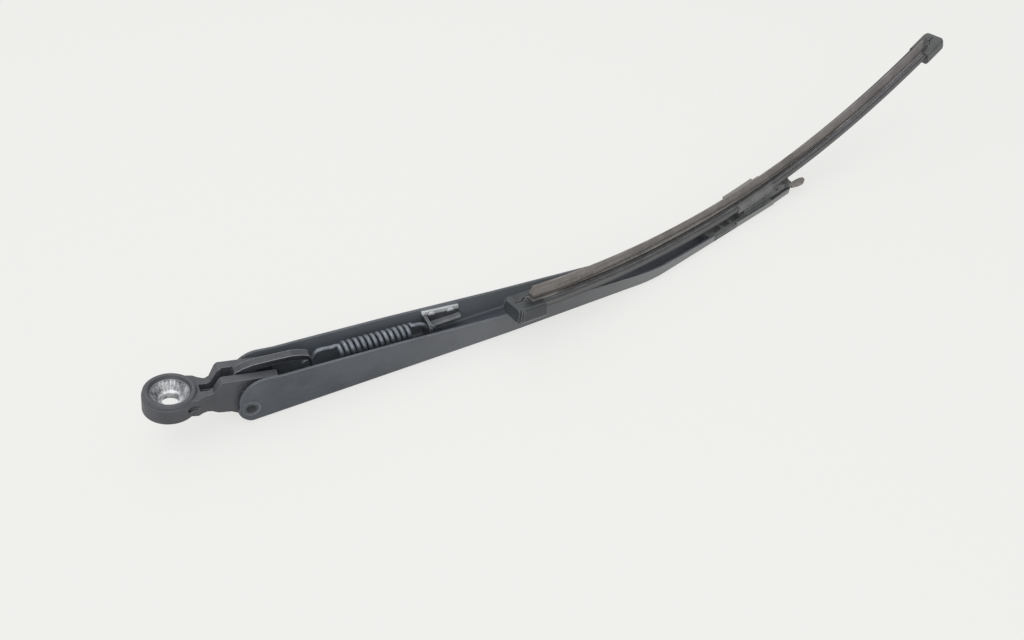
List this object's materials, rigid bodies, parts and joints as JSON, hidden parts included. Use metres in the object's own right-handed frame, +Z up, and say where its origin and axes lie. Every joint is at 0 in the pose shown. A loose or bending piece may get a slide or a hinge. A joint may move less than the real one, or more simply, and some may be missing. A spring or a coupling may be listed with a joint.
{
  "type": "rear wiper arm with blade",
  "caption": "Rear window wiper: folded steel arm with a hinged cast mounting head and tension spring, carrying a curved flat rubber blade, lying glass side up.",
  "frame": {"origin": "middle of the wall of the spindle bore, on its axis", "axes": "+X runs from the bore along the heel of the arm towards the tip, +Z is up and is the glass side as the part lies on its back, +Y is the side to which the arm bends in plan"},
  "size_m": [0.5643, 0.11, 0.0643],
  "materials": {
    "arm_paint": "satin dark grey paint, lightly scuffed",
    "bracket_steel": "painted pressing with bare edges",
    "pin_steel": "dull bare steel",
    "washer_plastic": "matt",
    "head_paint": "satin paint on a casting, bare in the spindle taper",
    "link_steel": "bright worn steel",
    "spring_steel": "dark phosphated wire",
    "adapter_plastic": "matt",
    "tab_plastic": "matt",
    "clamp_metal": "satin",
    "rubber": "dusty matt",
    "rail_steel": "bare spring steel",
    "cover_plastic": "satin",
    "cap_plastic": "satin"
  },
  "bodies": {
    "arm": {"arm_channel": "arm_paint", "anchor_bracket": "bracket_steel", "anchor_rivet_front": "pin_steel", "anchor_rivet_rear": "pin_steel", "hinge_pin": "pin_steel", "hinge_washer_near": "washer_plastic", "hinge_washer_far": "washer_plastic", "blade_adapter": "adapter_plastic", "pivot_pin": "pin_steel"},
    "head": {"head_casting": "head_paint", "link_pin": "pin_steel"},
    "link": {"spring_link": "link_steel"},
    "tab": {"release_tab": "tab_plastic"},
    "blade": {"blade_clamp": "clamp_metal", "wiper_rubber": "rubber", "rail_near": "rail_steel", "rail_far": "rail_steel", "cover_inner": "cover_plastic", "cover_outer": "cover_plastic", "end_cap_inner": "cap_plastic", "end_cap_outer": "cap_plastic"},
    "spring": {"tension_spring": "spring_steel"}
  },
  "joints": [
    {"name": "arm_hinge", "type": "hinge", "parent": "arm", "child": "head", "pos_m": [0.03318, 0, -0.01079], "axis": [0, -1, 0], "range_deg": [0, 80], "stiffness_Nm_per_rad": 0.5, "springref_deg": -57.3},
    {"name": "link_pivot", "type": "hinge", "parent": "head", "child": "link", "pos_m": [0.03262, 0, 0.00073], "axis": [0, -1, 0], "range_deg": [-74.4, 0]},
    {"name": "blade_pivot", "type": "hinge", "parent": "arm", "child": "blade", "pos_m": [0.3585, 0.02339, -0.01559], "axis": [-0.2426, 0.9701, 0], "range_deg": [-1.5, 5]},
    {"name": "release_press", "type": "hinge", "parent": "arm", "child": "tab", "pos_m": [0.39522, 0.02742, -0.01299], "axis": [-0.2426, 0.9701, 0], "range_deg": [0, 7], "stiffness_Nm_per_rad": 0.03, "springref_deg": -11.46},
    {"name": "spring_stretch", "type": "slide", "parent": "link", "child": "spring", "axis": [0.997, 0, -0.0774], "range_m": [0, 0.0107], "deforming": ["tension_spring"]}
  ],
  "couplings": [
    {"joint": "link_pivot", "follows": "arm_hinge", "ratio": -0.929},
    {"joint": "spring_stretch", "follows": "arm_hinge", "m_per_rad": 0.0076}
  ]
}
